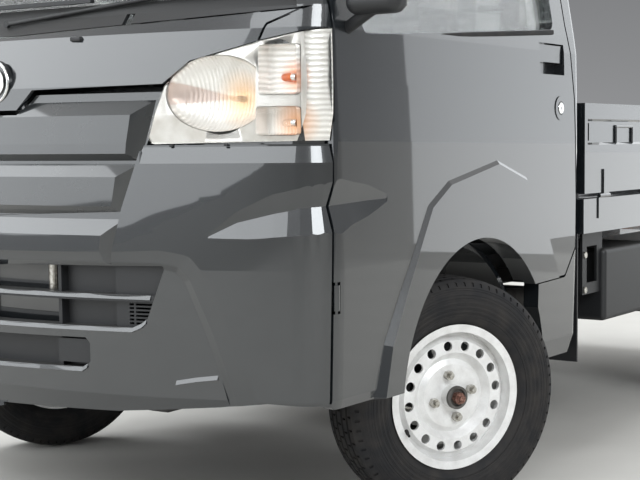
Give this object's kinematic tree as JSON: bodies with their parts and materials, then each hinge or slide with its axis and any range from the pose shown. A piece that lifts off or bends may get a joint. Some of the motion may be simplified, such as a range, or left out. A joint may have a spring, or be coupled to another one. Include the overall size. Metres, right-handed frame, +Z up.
{
  "type": "kei truck",
  "caption": "Small cab-over truck with a drop-side cargo bed, steering front wheels, opening doors, front lid and bed gates",
  "frame": {"origin": "centre of the bounding box at ground level", "axes": "+X to the vehicle's left, +Y to the rear, +Z up"},
  "size_m": [1.72, 3.395, 1.7816],
  "materials": {
    "gloss_black_paint": "gloss black paint",
    "silver_wheel_paint": "silver paint on steel",
    "chassis_black": "satin black chassis paint",
    "black_plastic": "moulded black plastic",
    "gloss_black_plastic": "gloss black plastic",
    "window_glass": "clear tinted glass",
    "lamp_lens": "clear polycarbonate",
    "lamp_reflector": "bright reflector",
    "tail_lens": "red lens",
    "tyre": "rubber",
    "seat_fabric": "woven fabric",
    "cast_metal": "cast iron and steel",
    "pipe_steel": "aluminised steel",
    "interior_plastic": "grained interior plastic"
  },
  "bodies": {
    "chassis": {"bed_deck": "gloss_black_paint", "cab_back_panel": "gloss_black_paint", "cab_floor": "gloss_black_paint", "cab_roof": "gloss_black_paint", "cowl": "black_plastic", "dashboard": "interior_plastic", "engine_block": "cast_metal", "exhaust": "pipe_steel", "front_bumper": "gloss_black_paint", "front_panel": "gloss_black_paint", "fuel_tank": "chassis_black", "gearbox_and_propshaft": "cast_metal", "grille_panel": "gloss_black_plastic", "guard_frame": "gloss_black_paint", "headboard": "gloss_black_paint", "headlamp_bodies": "lamp_reflector", "headlamp_lenses": "lamp_lens", "ladder_frame": "chassis_black", "leaf_springs": "chassis_black", "lower_arms": "chassis_black", "lower_grille": "black_plastic", "mudguards": "black_plastic", "rear_axle": "chassis_black", "rear_window": "window_glass", "seat_backs": "seat_fabric", "seat_cushions": "seat_fabric", "side_box": "black_plastic", "steering_gear": "chassis_black", "tail_lamps": "tail_lens", "windscreen": "window_glass", "wipers": "black_plastic"},
    "door_left": {"door_left_panel": "gloss_black_paint", "door_left_glass": "window_glass", "door_left_mirror": "black_plastic", "door_left_handle": "gloss_black_paint"},
    "door_right": {"door_right_panel": "gloss_black_paint", "door_right_glass": "window_glass", "door_right_mirror": "black_plastic", "door_right_handle": "gloss_black_paint"},
    "front_lid": {"front_lid": "gloss_black_paint"},
    "gate_left": {"gate_left": "gloss_black_paint"},
    "gate_right": {"gate_right": "gloss_black_paint"},
    "tailgate": {"tailgate": "gloss_black_paint"},
    "knuckle_left": {"knuckle_left": "chassis_black"},
    "knuckle_right": {"knuckle_right": "chassis_black"},
    "wheel_front_left": {"wheel_front_left": "silver_wheel_paint", "tyre_front_left": "tyre"},
    "wheel_front_right": {"wheel_front_right": "silver_wheel_paint", "tyre_front_right": "tyre"},
    "wheel_rear_left": {"wheel_rear_left": "silver_wheel_paint", "tyre_rear_left": "tyre"},
    "wheel_rear_right": {"wheel_rear_right": "silver_wheel_paint", "tyre_rear_right": "tyre"},
    "steering_wheel": {"steering_wheel": "interior_plastic"},
    "steering_rack": {"steering_rack": "pipe_steel"}
  },
  "joints": [
    {"name": "door_left_hinge", "type": "hinge", "parent": "chassis", "child": "door_left", "pos_m": [0.72, -1.4815, 0.7], "axis": [0, 0, -1], "range_deg": [0, 68]},
    {"name": "door_right_hinge", "type": "hinge", "parent": "chassis", "child": "door_right", "pos_m": [-0.72, -1.4815, 0.7], "axis": [0, 0, 1], "range_deg": [0, 68]},
    {"name": "front_lid_hinge", "type": "hinge", "parent": "chassis", "child": "front_lid", "pos_m": [0, -1.5325, 1.1], "axis": [-1, 0, 0], "range_deg": [0, 45]},
    {"name": "gate_left_hinge", "type": "hinge", "parent": "chassis", "child": "gate_left", "pos_m": [0.7315, 0.6805, 0.6965], "axis": [0, 1, 0], "range_deg": [0, 180]},
    {"name": "gate_right_hinge", "type": "hinge", "parent": "chassis", "child": "gate_right", "pos_m": [-0.7315, 0.6805, 0.6965], "axis": [0, -1, 0], "range_deg": [0, 180]},
    {"name": "tailgate_hinge", "type": "hinge", "parent": "chassis", "child": "tailgate", "pos_m": [0, 1.676, 0.6965], "axis": [-1, 0, 0], "range_deg": [0, 180]},
    {"name": "steer_left", "type": "hinge", "parent": "chassis", "child": "knuckle_left", "pos_m": [0.62, -0.9025, 0.19], "axis": [-0.2577, 0, 0.9662], "range_deg": [-4, 64]},
    {"name": "wheel_front_left_spin", "type": "hinge", "parent": "knuckle_left", "child": "wheel_front_left", "pos_m": [0.6453, -0.92839, 0.26921], "axis": [0.8749, -0.4831, -0.0334], "continuous": true},
    {"name": "steer_right", "type": "hinge", "parent": "chassis", "child": "knuckle_right", "pos_m": [-0.62, -0.9025, 0.19], "axis": [0.2577, 0, 0.9662], "range_deg": [-4, 64]},
    {"name": "wheel_front_right_spin", "type": "hinge", "parent": "knuckle_right", "child": "wheel_front_right", "pos_m": [-0.6453, -0.8766, 0.26921], "axis": [0.8749, -0.4831, 0.0334], "continuous": true},
    {"name": "wheel_rear_left_spin", "type": "hinge", "parent": "chassis", "child": "wheel_rear_left", "pos_m": [0.65, 0.9975, 0.271], "axis": [1, 0, 0], "continuous": true},
    {"name": "wheel_rear_right_spin", "type": "hinge", "parent": "chassis", "child": "wheel_rear_right", "pos_m": [-0.65, 0.9975, 0.271], "axis": [1, 0, 0], "continuous": true},
    {"name": "steering_wheel_turn", "type": "hinge", "parent": "chassis", "child": "steering_wheel", "pos_m": [-0.35, -1.1015, 1.03], "axis": [0, 0.7431, 0.6691], "range_deg": [-65, 1025]},
    {"name": "steering_rack_slide", "type": "slide", "parent": "chassis", "child": "steering_rack", "axis": [1, 0, 0], "range_m": [-0.11679, 0.00824]}
  ],
  "couplings": [
    {"joint": "steer_right", "follows": "steer_left", "ratio": 1},
    {"joint": "steering_wheel_turn", "follows": "steer_left", "ratio": 16},
    {"joint": "steering_rack_slide", "follows": "steer_left", "m_per_rad": -0.10366}
  ]
}
